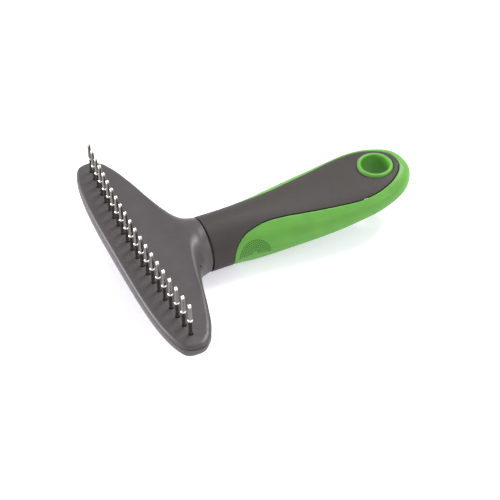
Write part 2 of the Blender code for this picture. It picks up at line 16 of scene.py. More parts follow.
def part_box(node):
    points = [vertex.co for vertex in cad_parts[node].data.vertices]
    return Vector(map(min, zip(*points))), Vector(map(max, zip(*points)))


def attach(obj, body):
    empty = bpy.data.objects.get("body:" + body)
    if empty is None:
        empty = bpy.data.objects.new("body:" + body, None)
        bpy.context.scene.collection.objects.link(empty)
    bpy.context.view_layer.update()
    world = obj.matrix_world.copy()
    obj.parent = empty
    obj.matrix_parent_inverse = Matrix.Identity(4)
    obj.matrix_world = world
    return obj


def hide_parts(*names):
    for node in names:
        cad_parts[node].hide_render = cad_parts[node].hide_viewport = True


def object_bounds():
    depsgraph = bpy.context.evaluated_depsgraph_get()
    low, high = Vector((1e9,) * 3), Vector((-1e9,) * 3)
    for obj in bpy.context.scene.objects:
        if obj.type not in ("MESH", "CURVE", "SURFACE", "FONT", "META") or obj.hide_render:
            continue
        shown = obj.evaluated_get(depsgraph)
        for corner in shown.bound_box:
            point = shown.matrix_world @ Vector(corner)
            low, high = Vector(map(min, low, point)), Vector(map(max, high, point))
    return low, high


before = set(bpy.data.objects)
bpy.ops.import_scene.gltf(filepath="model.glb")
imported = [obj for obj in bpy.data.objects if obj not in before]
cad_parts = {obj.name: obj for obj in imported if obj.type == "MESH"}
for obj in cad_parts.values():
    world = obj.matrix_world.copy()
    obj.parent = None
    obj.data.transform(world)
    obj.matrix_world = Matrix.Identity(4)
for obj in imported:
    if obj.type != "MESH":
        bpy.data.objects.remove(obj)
CAD_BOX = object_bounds()

MM = 0.001

# Head, as in the CAD model.
FRONT_X = CAD_BOX[0].x
BUTT_X = CAD_BOX[1].x
HEAD_HALF_WIDTH = 68.0 * MM
FACE_Z = 25.0 * MM
NECK_X = -34.7 * MM
NECK_R = 13.5 * MM
HEAD_END_X = -66.2 * MM
FRONT_SPAN = 68.8 * MM
FRONT_POWER_Y = 3.6
FRONT_POWER_X = 2.5
RIM_TOP_R = 2.0 * MM
RIM_LOW_R = 4.5 * MM
RIM_LOW_POWER = 3.0
RIM_Z = 23.0 * MM
WING_BOTTOM_Z = 15.2 * MM
WING_TIP_RISE = 2.2 * MM
KEEL_DROP = 0.9 * MM
KEEL_SPREAD = 16.0 * MM
KEEL_SPREAD_AT_NECK = 76.0 * MM
# Shares of the way from the front edge to the neck where the head's sections change.
KEEL_FROM = 0.22
KEEL_TO = 0.72
KEEL_WIDENS_FROM = 0.7
KEEL_FILLS_FROM = 0.8
RIM_ROUNDS_FROM = 0.62
MIDDLE_DROPS_FROM = 0.6
TOP_RISES_FROM = 0.55
MAX_STRETCH = 3.4
STRETCH_STEP = 0.02
MITRE_POWER = 8.0
COVER_NOTCH_X = -9.0 * MM
COVER_NOTCH_R = 36.0 * MM
NOTCH_BLEND = 12.0 * MM
LEAST_SLOPE = 0.15
HEAD_WIDTHS = (
    (0.00, 65.2 * MM), (0.006, 65.9 * MM), (0.02, 66.6 * MM), (0.05, 67.4 * MM),
    (0.09, 67.85 * MM), (0.14, 68.0 * MM), (0.19, 67.9 * MM), (0.24, 67.4 * MM),
    (0.29, 66.5 * MM), (0.34, 65.2 * MM), (0.40, 63.1 * MM), (0.51, 56.0 * MM),
    (0.60, 45.6 * MM), (0.67, 35.1 * MM), (0.75, 25.3 * MM), (0.83, 18.6 * MM),
    (0.91, 14.9 * MM), (1.00, 13.5 * MM),
)
COVER_SCREW_XY = (
    (-60.8 * MM, -48.0 * MM), (-52.0 * MM, -20.0 * MM),
    (-52.0 * MM, 20.0 * MM), (-60.8 * MM, 48.0 * MM),
)
COVER_SEAT_Z = 17.8 * MM
RECESS_R = 2.6 * MM
RECESS_REACH = 4.0 * MM
RECESS_LEAST_DEPTH = 0.6 * MM
RECESS_FLOOR = 1.6 * MM
PIN_HOLE_R = 1.15 * MM
PIN_HOLE_EDGE_R = 0.12 * MM
PIN_HOLE_REACH = 2.2 * MM
PIN_HOLE_DEPTH = 1.4 * MM

# Pins, measured up from the head's face.
PIN_TOP = 18.3 * MM
PIN_TIP_R = 0.75 * MM
PIN_CONE_R = 1.0 * MM
PIN_COLLAR_R = 1.25 * MM
PIN_COLLAR_Z = 8.7 * MM
PIN_COLLAR_EDGE_R = 0.55 * MM
PIN_STEM_R = 0.9 * MM
PIN_FOOT = -2.3 * MM
PIN_HEAD_R = 1.8 * MM
PIN_HEAD_H = 1.1 * MM

# Seam ring between the neck and the handle, and the cover's pan-head screws.
SEAM_RING_T = 3.0 * MM
SEAM_BEVEL = 0.1 * MM
SCREW_GAP = 0.3 * MM
SCREW_SHAFT_R = 1.0 * MM
SCREW_HEAD_R = 2.0 * MM
SCREW_EDGE_R = 0.5 * MM
SCREW_POINT = 0.9 * MM
CROSS_SIZE = (2.2 * MM, 0.5 * MM, 0.8 * MM)
CROSS_TURN = 25.0
CROSS_TURN_STEP = 40.0

# Handle, as in the CAD model.
HANDLE_X = -33.3 * MM
HANDLE_STATIONS = (
    (-34.0 * MM, 13.5 * MM, 27.0 * MM, -0.9 * MM),
    (-20.0 * MM, 13.4 * MM, 26.8 * MM, -1.0 * MM),
    (-9.0 * MM, 14.5 * MM, 26.3 * MM, -1.2 * MM),
    (11.0 * MM, 17.5 * MM, 25.7 * MM, 2.4 * MM),
    (31.0 * MM, 19.5 * MM, 25.9 * MM, 6.0 * MM),
    (49.0 * MM, 20.2 * MM, 27.2 * MM, 10.0 * MM),
    (61.0 * MM, 20.2 * MM, 28.2 * MM, 12.6 * MM),
    (79.0 * MM, 20.2 * MM, 28.4 * MM, 14.4 * MM),
)
BUTT_TAPER_X = 49.0 * MM
BUTT_EDGE_R = 7.5 * MM
BUTT_SQUARENESS = 0.5
PANEL_LOW_Z = 19.7 * MM
PANEL_POINTS = (
    (-19.1 * MM, 11.7 * MM), (-15.4 * MM, 10.5 * MM), (-11.6 * MM, 9.7 * MM),
    (-6.9 * MM, 9.1 * MM), (-2.0 * MM, 9.0 * MM), (6.0 * MM, 9.8 * MM), (14.0 * MM, 11.2 * MM),
    (29.0 * MM, 13.8 * MM), (41.0 * MM, 15.8 * MM), (46.0 * MM, 16.1 * MM),
    (51.3 * MM, 15.9 * MM), (56.3 * MM, 15.0 * MM), (61.4 * MM, 13.2 * MM),
    (66.0 * MM, 10.4 * MM), (69.0 * MM, 7.6 * MM), (71.0 * MM, 4.2 * MM), (71.7 * MM, 0.0 * MM),
)
WRAP_FRONT = (
    (-19.1 * MM, 19.7 * MM), (-20.6 * MM, 18.2 * MM), (-21.8 * MM, 16.2 * MM),
    (-22.8 * MM, 12.0 * MM), (-22.7 * MM, 7.0 * MM), (-21.0 * MM, -1.0 * MM),
)
HOLE_X = 60.0 * MM
HOLE_R = 7.0 * MM
GROMMET_R = 7.9 * MM
GROMMET_LIP_R = 8.9 * MM
GROMMET_LIP_H = 1.7 * MM
GROMMET_GAP = 0.15 * MM
GROMMET_TOP_EDGE_R = 0.85 * MM
GROMMET_LOW_EDGE_R = 0.6 * MM
GROMMET_TOP_Z = 28.9 * MM
GROMMET_BOTTOM_Z = 13.2 * MM

# Fan of small dots on each side of the grip, near its front, coloured dark green as painted shade of
# small dimples.
DOT_CENTRE = (-12.6 * MM, 10.6 * MM)
DOT_INNER_R = 1.6 * MM
DOT_PITCH = 0.98 * MM
DOT_RINGS = 7
DOT_START = -5.0
DOT_SPAN = 195.0
DOT_R = 0.36 * MM
DOT_HEIGHT = 0.1 * MM

# Fine form of the visible skins.
HEAD_HALF_COUNT = 150
HEAD_RIM_ROWS = 16
HEAD_RIM_SHARE = 0.2
HEAD_ROWS = 62
HANDLE_COUNT = 200
HANDLE_ROWS = 190
ROW_EVENNESS = 0.55
LEAST_HALF = 0.05 * MM
SKIN_T = 1.6 * MM
EDGE_R = 0.3 * MM
EDGE_DEPTH = 1.3 * MM
EDGE_REACH = 0.5 * MM
WRAP_EDGE_R = 0.6 * MM
WRAP_EDGE_DEPTH = 1.5 * MM
PARTING_GAP = 0.45 * MM
WRAP_GAP = 0.4 * MM
FAR = 200.0 * MM
LEAST_LOOP = 7
JOIN_DISTANCE = 0.04 * MM
FLAT_DISTANCE = 0.005 * MM


# ---------------------------------------------------------------- curves and surfaces

def ease(value):
    """Smooth step from 0 to 1."""
    t = min(max(value, 0.0), 1.0)
    return t * t * (3.0 - 2.0 * t)


def ease_between(value, start, end=1.0):
    """Smooth step from 0 at start to 1 at end."""
    return ease((value - start) / (end - start))


def read_curve(points, where):
    """Read a smooth curve through (place, value) points, flat beyond its ends."""
    if where <= points[0][0]:
        return points[0][1]
    if where >= points[-1][0]:
        return points[-1][1]
    index = 0
    while where > points[index + 1][0]:
        index += 1
    slopes = []
    for place in (index, index + 1):
        before = points[max(place - 1, 0)]
        after = points[min(place + 1, len(points) - 1)]
        slopes.append((after[1] - before[1]) / (after[0] - before[0]))
    (x0, v0), (x1, v1) = points[index], points[index + 1]
    span = x1 - x0
    t = (where - x0) / span
    return (
        v0 * (1.0 + 2.0 * t) * (1.0 - t) ** 2
        + v1 * t * t * (3.0 - 2.0 * t)
        + slopes[0] * span * t * (1.0 - t) ** 2
        - slopes[1] * span * t * t * (1.0 - t)
    )


def smooth_line(points, steps=24):
    """A dense Catmull-Rom line through flat points."""
    points = np.array(points)
    ends = [2 * points[0] - points[1], *points, 2 * points[-1] - points[-2]]
    line = []
    for before, start, end, after in zip(ends, ends[1:], ends[2:], ends[3:]):
        for i in range(steps):
            t = i / steps
            line.append(0.5 * (
                2 * start + (end - before) * t
                + (2 * before - 5 * start + 4 * end - after) * t * t
                + (3 * start - before - 3 * end + after) * t ** 3
            ))
    line.append(points[-1])
    return np.array(line)


def front_edge_x(y):
    """Front edge of the head at y: a flattened oval arc."""
    share = min(abs(y) / FRONT_SPAN, 1.0) ** FRONT_POWER_Y
    return HEAD_END_X - (HEAD_END_X - FRONT_X) * (1.0 - share) ** (1.0 / FRONT_POWER_X)


def head_bottom_z(g, y):
    """Underside of the head: flat wings with a keel that deepens towards the neck."""
    spread = KEEL_SPREAD + (KEEL_SPREAD_AT_NECK - KEEL_SPREAD) * ease_between(g, KEEL_WIDENS_FROM)
    keel = ease_between(g, KEEL_FROM, KEEL_TO) * math.exp(-((y / spread) ** 2))
    keel += ease_between(g, KEEL_FILLS_FROM) * (1.0 - keel)
    wing = WING_BOTTOM_Z + WING_TIP_RISE * (y / HEAD_HALF_WIDTH) ** 2
    return wing * (1.0 - keel) - KEEL_DROP * keel


def outline_stretch(g):
    """How many times longer a step across the head's outline is along Y than square to it."""
    places = []
    for share in (max(g - STRETCH_STEP, 0.0), min(g + STRETCH_STEP, 1.0)):
        width = read_curve(HEAD_WIDTHS, share)
        start_x = front_edge_x(width)
        places.append((start_x + share * (NECK_X - start_x), width))
    dx = places[1][0] - places[0][0]
    dy = places[1][1] - places[0][1]
    return min(math.hypot(dx, dy) / abs(dx), MAX_STRETCH)


def left_share(distance, radius):
    """How far a place still is from the inner end of a rim: 1 at its edge, 0 past radius."""
    return 1.0 - min(max(distance, 0.0) / radius, 1.0)


def rim_height(from_side, from_front, power):
    """Height share of the rounded rim where two rims meet at a soft mitre."""
    left = (from_side ** MITRE_POWER + from_front ** MITRE_POWER) ** (1.0 / MITRE_POWER)
    return (1.0 - min(left, 1.0) ** power) ** (1.0 / power)


def head_ring(g):
    """Section of the head at fraction g of the way from its front edge to the neck."""
    stretch = outline_stretch(g)
    width = read_curve(HEAD_WIDTHS, g)
    to_neck = ease_between(g, RIM_ROUNDS_FROM)
    middle = RIM_Z + (NECK_R - RIM_Z) * ease_between(g, MIDDLE_DROPS_FROM)
    top = FACE_Z + (2.0 * NECK_R - FACE_Z) * ease_between(g, TOP_RISES_FROM)
    low_power = RIM_LOW_POWER + (2.0 - RIM_LOW_POWER) * to_neck
    ring = []
    for k in range(2 * HEAD_HALF_COUNT):
        angle = math.pi * k / HEAD_HALF_COUNT
        y = width * math.cos(angle)
        start_x = front_edge_x(y)
        x = start_x + g * (NECK_X - start_x)
        upper = k < HEAD_HALF_COUNT
        edge_r = RIM_TOP_R if upper else RIM_LOW_R
        power = 2.0 if upper else low_power
        rim = min((edge_r + (NECK_R - edge_r) * to_neck) * stretch, width)
        from_front = left_share(x - start_x, edge_r)
        side = rim_height(left_share(width - abs(y), rim), from_front, power)
        if k % HEAD_HALF_COUNT == 0:
            side = 0.0
        if upper:
            z = middle + (top - middle) * side
        else:
            z = middle - (middle - head_bottom_z(g, y)) * side
        ring.append((x, y, max(z, 0.0)))
    return ring


def head_skin():
    """Points and triangles of the whole head, open at the neck."""
    fractions = []
    for i in range(HEAD_RIM_ROWS):
        fractions.append(HEAD_RIM_SHARE * (1.0 - math.cos(0.5 * math.pi * i / HEAD_RIM_ROWS)))
    for i in range(HEAD_ROWS + 1):
        fractions.append(HEAD_RIM_SHARE + (1.0 - HEAD_RIM_SHARE) * i / HEAD_ROWS)
    return tube([head_ring(g) for g in fractions])


def handle_section(x):
    """Half width, middle height, half height and superellipse power of the handle at x."""
    width = read_curve([(s[0], s[1]) for s in HANDLE_STATIONS], x)
    top = read_curve([(s[0], s[2]) for s in HANDLE_STATIONS], x)
    bottom = read_curve([(s[0], s[3]) for s in HANDLE_STATIONS], x)
    if x > BUTT_TAPER_X:
        along = min((x - BUTT_TAPER_X) / (BUTT_X - BUTT_TAPER_X), 1.0)
        width *= math.sqrt(1.0 - along * along)
    edge = max(0.0, (x - (BUTT_X - BUTT_EDGE_R)) / BUTT_EDGE_R)
    half_height = (top - bottom) / 2.0 * math.sqrt(1.0 - min(edge, 1.0) ** 2)
    power = 2.0 + BUTT_SQUARENESS * ease_between(x, NECK_X, BUTT_TAPER_X)
    return width, (top + bottom) / 2.0, half_height, power


def handle_top_z(x, y):
    """Height of the handle's upper side at (x, y)."""
    width, middle, half_height, power = handle_section(x)
    share = min(abs(y) / width, 1.0)
    return middle + half_height * (1.0 - share ** power) ** (1.0 / power)


def handle_side_y(x, z):
    """Half width of the handle at (x, z)."""
    width, middle, half_height, power = handle_section(x)
    share = min(abs(z - middle) / half_height, 1.0)
    return width * (1.0 - share ** power) ** (1.0 / power)


def handle_skin():
    """Points and triangles of the whole handle, open at the neck."""
    rings = []
    for i in range(HANDLE_ROWS + 1):
        share = i / HANDLE_ROWS
        bent = ROW_EVENNESS * share + (1.0 - ROW_EVENNESS) * math.sin(0.5 * math.pi * share)
        x = HANDLE_X + (BUTT_X - HANDLE_X) * min(bent, 1.0)
        width, middle, half_height, power = handle_section(x)
        ring = []
        for k in range(HANDLE_COUNT):
            angle = 2.0 * math.pi * k / HANDLE_COUNT
            c, s = math.cos(angle), math.sin(angle)
            y = max(width, LEAST_HALF) * math.copysign(abs(c) ** (2.0 / power), c)
            z = middle + max(half_height, LEAST_HALF) * math.copysign(abs(s) ** (2.0 / power), s)
            ring.append((x, y, max(z, 0.0)))
        rings.append(ring)
    points, triangles = tube(rings)
    last = len(points) - HANDLE_COUNT
    cap = [(last, last + k, last + k + 1) for k in range(1, HANDLE_COUNT - 1)]
    return points, np.vstack([triangles, cap])


def tube(rings):
    """Points and outward triangles of closed rings that run along +X."""
    points = np.array([point for ring in rings for point in ring])
    count = len(rings[0])
    triangles = []
    for row in range(len(rings) - 1):
        for k in range(count):
            a, b = row * count + k, row * count + (k + 1) % count
            triangles.append((a, b, b + count))
            triangles.append((a, b + count, a + count))
    return points, np.array(triangles)


# ---------------------------------------------------------------- cutting skins

def clip(points, triangles, level):
    """Keep the part of a skin where level is above 0, with a clean edge where it is 0."""
    inside = level > 0.0
    kept_count = inside[triangles].sum(axis=1)
    kept = triangles[kept_count == 3].tolist()
    new_points = [*points]
    made = {}

    def crossing(a, b):
        key = (min(a, b), max(a, b))
        if key not in made:
            share = level[a] / (level[a] - level[b])
            made[key] = len(new_points)
            new_points.append(points[a] + share * (points[b] - points[a]))
        return made[key]

    for corners in triangles[(kept_count == 1) | (kept_count == 2)].tolist():
        while not inside[corners[0]] or inside[corners[2]]:
            corners = corners[1:] + corners[:1]
        a, b, c = corners
        if inside[b]:
            kept.append((a, b, crossing(b, c)))
            kept.append((a, crossing(b, c), crossing(a, c)))
        else:
            kept.append((a, crossing(a, b), crossing(a, c)))
    return np.array(new_points), kept


def distance_to_line(points, line):
    """Distance of each point from a dense line."""
    best = np.full(len(points), np.inf)
    for start, end in zip(line, line[1:]):
        along = end - start
        length = along @ along
        if length < 1e-14:
            continue
        share = np.clip((points - start) @ along / length, 0.0, 1.0)
        away = points - start - share[:, None] * along
        best = np.minimum(best, (away * away).sum(axis=1))
    return np.sqrt(best)


def inside_outline(outline, across, up):
    """True for each flat place (across, up) that lies within a closed outline."""
    result = np.zeros(len(across), bool)
    for (x0, y0), (x1, y1) in zip(outline, np.roll(outline, -1, axis=0)):
        if y0 == y1:
            continue
        spans = (y0 > up) != (y1 > up)
        result ^= spans & (across < (x1 - x0) * (up - y0) / (y1 - y0) + x0)
    return result


def skin_mesh(name, points, triangles, profile_for):
    """Make a clipped skin a closed shell, its open edges turned over with small radii."""
    shape = bmesh.new()
    verts = [shape.verts.new(point) for point in points]
    for corners in triangles:
        shape.faces.new([verts[i] for i in corners])
    loose = [vert for vert in shape.verts if not vert.link_faces]
    bmesh.ops.delete(shape, geom=loose, context="VERTS")
    bmesh.ops.remove_doubles(shape, verts=shape.verts, dist=JOIN_DISTANCE)
    bmesh.ops.dissolve_degenerate(shape, edges=shape.edges, dist=FLAT_DISTANCE)
    shape.normal_update()
    for loop in open_loops(shape):
        roll_edge(shape, loop, profile_for(loop))
    mesh = bpy.data.meshes.new(name)
    shape.to_mesh(mesh)
    shape.free()
    mesh.shade_smooth()
    return mesh


def open_loops(shape):
    """Each open edge of a skin as a list of its vertices, with the skin on one known side."""
    after = {}
    for edge in shape.edges:
        if len(edge.link_loops) == 1:
            loop = edge.link_loops[0]
            after[loop.vert] = loop.link_loop_next.vert
    loops = []
    while after:
        first = next(iter(after))
        chain = [first]
        step = after.pop(first)
        while step is not first and step in after:
            chain.append(step)
            step = after.pop(step)
        if len(chain) > LEAST_LOOP:
            loops.append(chain)
    return loops


def roll_edge(shape, chain, profile):
    """Carry an open edge on through rows, each (outward, down) from the edge."""
    count = len(chain)
    places = np.array([vert.co for vert in chain])
    normals = np.array([vert.normal for vert in chain])
    steps = np.linalg.norm(np.roll(places, -1, axis=0) - places, axis=1)
    at = np.concatenate([[0.0], np.cumsum(steps)[:-1]])
    total = steps.sum()

    def shifted(values, shift):
        return np.stack([
            np.interp(at + shift, at, values[:, k], period=total) for k in range(3)
        ], axis=1)

    along = shifted(places, EDGE_REACH) - shifted(places, -EDGE_REACH)
    along /= np.linalg.norm(along, axis=1)[:, None]
    inward = sum(shifted(normals, share * EDGE_REACH) for share in (-1.0, -0.5, 0.0, 0.5, 1.0))
    inward /= -np.linalg.norm(inward, axis=1)[:, None]
    outward = np.cross(inward, along)
    outward /= np.linalg.norm(outward, axis=1)[:, None]
    previous = chain
    for out, down in profile:
        row = [
            shape.verts.new(places[i] + out * outward[i] + down * inward[i])
            for i in range(count)
        ]
        for i in range(count):
            j = (i + 1) % count
            shape.faces.new((previous[j], previous[i], row[i], row[j]))
        previous = row


def rolled(radius, depth, floor=0.0):
    """Rows of an edge turned over through a quarter circle, then down, then outwards."""
    rows = []
    for quarter in (0.25, 0.5, 0.75, 1.0):
        angle = 0.5 * math.pi * quarter
        rows.append((radius * math.sin(angle), radius * (1.0 - math.cos(angle))))
    rows.append((radius, depth))
    if floor:
        rows.append((floor, depth + 0.02 * MM))
    return rows


def add_piece(name, mesh, material, body, slot, *nodes, thickness=None):
    """Show a mesh as a piece that rides on a body and stands for CAD nodes."""
    piece = bpy.data.objects.new(name, mesh)
    bpy.context.scene.collection.objects.link(piece)
    if not mesh.materials:
        mesh.materials.append(material)
    if thickness:
        shell = piece.modifiers.new("thickness", "SOLIDIFY")
        shell.thickness = thickness
        shell.offset = -1.0
    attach(piece, body)
    if nodes:
        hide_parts(*nodes)
    return piece


# ---------------------------------------------------------------- materials

# Each moulded surface: colour, roughness, grain height, roughness spread, colour of the painted
# highlight on convex edges.
HEAD_GREY_LOOK = ((0.055, 0.047, 0.049), 0.40, 0.02 * MM, 0.05, (0.12, 0.11, 0.11))
GRIP_GREY_LOOK = ((0.027, 0.0215, 0.019), 0.62, 0.025 * MM, 0.05, (0.13, 0.11, 0.105))
GRIP_GREEN_LOOK = ((0.082, 0.270, 0.028), 0.46, 0.025 * MM, 0.05, (0.3, 0.58, 0.2))
# Dots: dark green as painted shade of small dimples.
DOT_SHADE_GREEN_LOOK = ((0.008, 0.065, 0.004), 0.65, 0.02 * MM, 0.05, (0.01, 0.08, 0.005))
# Seam ring: near black, as painted shade of the gap in the joint.
SEAM_SHADE_LOOK = ((0.018, 0.017, 0.017), 0.6, 0.02 * MM, 0.06, (0.04, 0.04, 0.04))
INNER_PLASTIC_LOOK = ((0.5, 0.5, 0.47), 0.5, 0.02 * MM, 0.08, (0.6, 0.6, 0.58))
MOULDED_SPECULAR = 0.4
MOTTLE_SHARE = 0.07
BROAD_GRAIN = 0.03 * MM
# Convex edges lightened as a painted highlight: how much, and over which pointiness range.
EDGE_HIGHLIGHT_AMOUNT = 0.5
EDGE_HIGHLIGHT_POINTINESS = (0.52, 0.62)

# Features along a metre, for each noise.
MOTTLE_SCALE = 90.0
BROAD_GRAIN_SCALE = 240.0
FINE_GRAIN_SCALE = 4200.0
SHEEN_SCALE = 900.0
SMUDGE_SCALE = 500.0
TURNING_SCALE = 600.0
SPANGLE_SCALE = 1500.0

# Pin steel at shares of the pin's height, with painted light: stem darkened as a painted reflection
# of the dark head, collar lightened as a painted highlight, cone darkened as a painted reflection of
# dark surroundings, tip lightened as a painted highlight.
PIN_STEM_SHADE_TONE = (0.34, 0.325, 0.30)
PIN_BODY_DARK_REFLECTION_TONE = (0.17, 0.16, 0.145)
PIN_HIGHLIGHT_TONE = (0.86, 0.84, 0.80)
PIN_PAINTED_LIGHT_TONES = (
    (0.430, PIN_STEM_SHADE_TONE), (0.445, PIN_HIGHLIGHT_TONE), (0.500, PIN_HIGHLIGHT_TONE),
    (0.525, PIN_BODY_DARK_REFLECTION_TONE), (0.900, PIN_BODY_DARK_REFLECTION_TONE), (0.945, PIN_HIGHLIGHT_TONE),
)


def new_material(name, colour, roughness, metallic=0.0):
    """A Principled material, its nodes and links ready for detail."""
    material = bpy.data.materials.new(name)
    material.use_nodes = True
    nodes, links = material.node_tree.nodes, material.node_tree.links
    shader = nodes["Principled BSDF"]
    shader.inputs["Base Color"].default_value = (*colour, 1.0)
    shader.inputs["Roughness"].default_value = roughness
    shader.inputs["Metallic"].default_value = metallic
    return material, nodes, links, shader


def noise(nodes, links, scale, detail=3.0, roughness=0.55, stretch=(1.0, 1.0, 1.0)):
    """A noise in object coordinates; scale counts features along a metre."""
    place = nodes.new("ShaderNodeTexCoord")
    mapping = nodes.new("ShaderNodeMapping")
    mapping.inputs["Scale"].default_value = stretch
    links.new(place.outputs["Object"], mapping.inputs["Vector"])
    texture = nodes.new("ShaderNodeTexNoise")
    texture.inputs["Scale"].default_value = scale
    texture.inputs["Detail"].default_value = detail
    texture.inputs["Roughness"].default_value = roughness
    links.new(mapping.outputs["Vector"], texture.inputs["Vector"])
    return texture.outputs["Fac"]


def ramp(nodes, links, source, low, high, start=0.35, end=0.65):
    """Map a value between two colours."""
    node = nodes.new("ShaderNodeValToRGB")
    node.color_ramp.elements[0].position = start
    node.color_ramp.elements[0].color = (*low, 1.0)
    node.color_ramp.elements[1].position = end
    node.color_ramp.elements[1].color = (*high, 1.0)
    links.new(source, node.inputs["Fac"])
    return node.outputs["Color"]


def spread(nodes, links, source, low, high):
    """Map a value from 0..1 onto low..high."""
    node = nodes.new("ShaderNodeMapRange")
    node.inputs["From Min"].default_value = 0.3
    node.inputs["From Max"].default_value = 0.7
    node.inputs["To Min"].default_value = low
    node.inputs["To Max"].default_value = high
    links.new(source, node.inputs["Value"])
    return node.outputs["Result"]


def bump(nodes, links, shader, heights):
    """Chain bumps, each (source, distance in metres, strength), into the shader."""
    normal = None
    for source, distance, strength in heights:
        node = nodes.new("ShaderNodeBump")
        node.inputs["Distance"].default_value = distance
        node.inputs["Strength"].default_value = strength
        links.new(source, node.inputs["Height"])
        if normal is not None:
            links.new(normal, node.inputs["Normal"])
        normal = node.outputs["Normal"]
    links.new(normal, shader.inputs["Normal"])


def painted_edge_highlight(nodes, links, source_colour, highlight_and_smudge):
    """Lighten a colour along convex edges, as a painted highlight."""
    geometry = nodes.new("ShaderNodeNewGeometry")
    edge = nodes.new("ShaderNodeMapRange")
    edge.inputs["From Min"].default_value = EDGE_HIGHLIGHT_POINTINESS[0]
    edge.inputs["From Max"].default_value = EDGE_HIGHLIGHT_POINTINESS[1]
    edge.inputs["To Max"].default_value = EDGE_HIGHLIGHT_AMOUNT
    links.new(geometry.outputs["Pointiness"], edge.inputs["Value"])
    mix = nodes.new("ShaderNodeMix")
    mix.data_type = "RGBA"
    links.new(edge.outputs["Result"], mix.inputs["Factor"])
    links.new(source_colour, mix.inputs["A"])
    mix.inputs["B"].default_value = (*highlight_and_smudge, 1.0)
    return mix.outputs["Result"]


def moulded(name, colour, roughness, grain, speckle, highlight_and_smudge):
    """Moulded plastic or rubber: fine spark grain, faint mottling and convex edges lightened as a
    painted highlight.
    """
    material, nodes, links, shader = new_material(name, colour, roughness)
    low = [(1.0 - MOTTLE_SHARE) * part for part in colour]
    high = [(1.0 + MOTTLE_SHARE) * part for part in colour]
    mottled = ramp(nodes, links, noise(nodes, links, MOTTLE_SCALE), low, high)
    links.new(painted_edge_highlight(nodes, links, mottled, highlight_and_smudge), shader.inputs["Base Color"])
    sheen = noise(nodes, links, SHEEN_SCALE, 5.0)
    rough = spread(nodes, links, sheen, roughness - speckle, roughness + speckle)
    links.new(rough, shader.inputs["Roughness"])
    shader.inputs["Specular IOR Level"].default_value = MOULDED_SPECULAR
    fine = noise(nodes, links, FINE_GRAIN_SCALE, 2.0)
    broad = noise(nodes, links, BROAD_GRAIN_SCALE, 2.0)
    bump(nodes, links, shader, [(broad, BROAD_GRAIN, 0.15), (fine, grain, 0.5)])
    return material


def grip_green():
    """The wrap's green rubber, which lets a little light in."""
    material = moulded("grip_green_rubber", *GRIP_GREEN_LOOK)
    shader = material.node_tree.nodes["Principled BSDF"]
    shader.inputs["Subsurface Weight"].default_value = 0.08
    shader.inputs["Subsurface Radius"].default_value = (0.4, 1.0, 0.2)
    shader.inputs["Subsurface Scale"].default_value = 0.8 * MM
    return material


def pin_painted_light(nodes, links):
    """Painted light on the steel by height above the head's face, where each pin's mesh has its zero:
    painted highlights at collar and tip, painted dark reflections on stem and cone.
    """
    place = nodes.new("ShaderNodeTexCoord")
    split = nodes.new("ShaderNodeSeparateXYZ")
    links.new(place.outputs["Object"], split.inputs["Vector"])
    height = nodes.new("ShaderNodeMapRange")
    height.inputs["From Max"].default_value = PIN_TOP
    links.new(split.outputs["Z"], height.inputs["Value"])
    tones = nodes.new("ShaderNodeValToRGB")
    stops = tones.color_ramp.elements
    stops[0].color = (*PIN_STEM_SHADE_TONE, 1.0)
    stops[1].color = (*PIN_HIGHLIGHT_TONE, 1.0)
    for share, tone in PIN_PAINTED_LIGHT_TONES:
        stops.new(share).color = (*tone, 1.0)
    links.new(height.outputs["Result"], tones.inputs["Fac"])
    return tones.outputs["Color"]


def multiplied(nodes, links, first, second):
    """The product of two colours."""
    mix = nodes.new("ShaderNodeMix")
    mix.data_type = "RGBA"
    mix.blend_type = "MULTIPLY"
    mix.inputs["Factor"].default_value = 1.0
    links.new(first, mix.inputs["A"])
    links.new(second, mix.inputs["B"])
    return mix.outputs["Result"]


def polished_steel():
    """Plated pins: painted highlights at the tip and collar, a painted dark reflection on the body,
    fine turning rings and smudges.
    """
    material, nodes, links, shader = new_material("pin_steel", PIN_BODY_DARK_REFLECTION_TONE, 0.08, 1.0)
    smudges = noise(nodes, links, SMUDGE_SCALE)
    highlight_and_smudge = ramp(nodes, links, smudges, (0.8, 0.8, 0.8), (1.0, 1.0, 1.0))
    # Painted highlights and dark reflections by height, times the real smudges.
    steel = multiplied(nodes, links, pin_painted_light(nodes, links), highlight_and_smudge)
    links.new(steel, shader.inputs["Base Color"])
    links.new(spread(nodes, links, smudges, 0.05, 0.11), shader.inputs["Roughness"])
    rings = noise(nodes, links, TURNING_SCALE, 4.0, stretch=(0.6, 0.6, 9.0))
    bump(nodes, links, shader, [(rings, 0.006 * MM, 0.15)])
    return material


def zinc_steel():
    """Zinc-plated screw: mottled spangle."""
    material, nodes, links, shader = new_material("screw_steel", (0.6, 0.6, 0.6), 0.32, 1.0)
    spangle = noise(nodes, links, SPANGLE_SCALE, 4.0)
    zinc = ramp(nodes, links, spangle, (0.5, 0.5, 0.5), (0.7, 0.69, 0.66))
    links.new(zinc, shader.inputs["Base Color"])
    links.new(spread(nodes, links, spangle, 0.25, 0.42), shader.inputs["Roughness"])
    bump(nodes, links, shader, [(spangle, 0.01 * MM, 0.3)])
    return material


HEAD_GREY = moulded("head_grey_plastic", *HEAD_GREY_LOOK)
GRIP_GREY = moulded("grip_grey_rubber", *GRIP_GREY_LOOK)
GRIP_GREEN = grip_green()
DOT_SHADE_GREEN = moulded("grip_dot_shade_green", *DOT_SHADE_GREEN_LOOK)
PIN_STEEL = polished_steel()
SCREW_STEEL = zinc_steel()
SEAM_SHADE = moulded("seam_black_rubber", *SEAM_SHADE_LOOK)
INNER_PLASTIC = moulded("inner_plastic", *INNER_PLASTIC_LOOK)


# ---------------------------------------------------------------- head

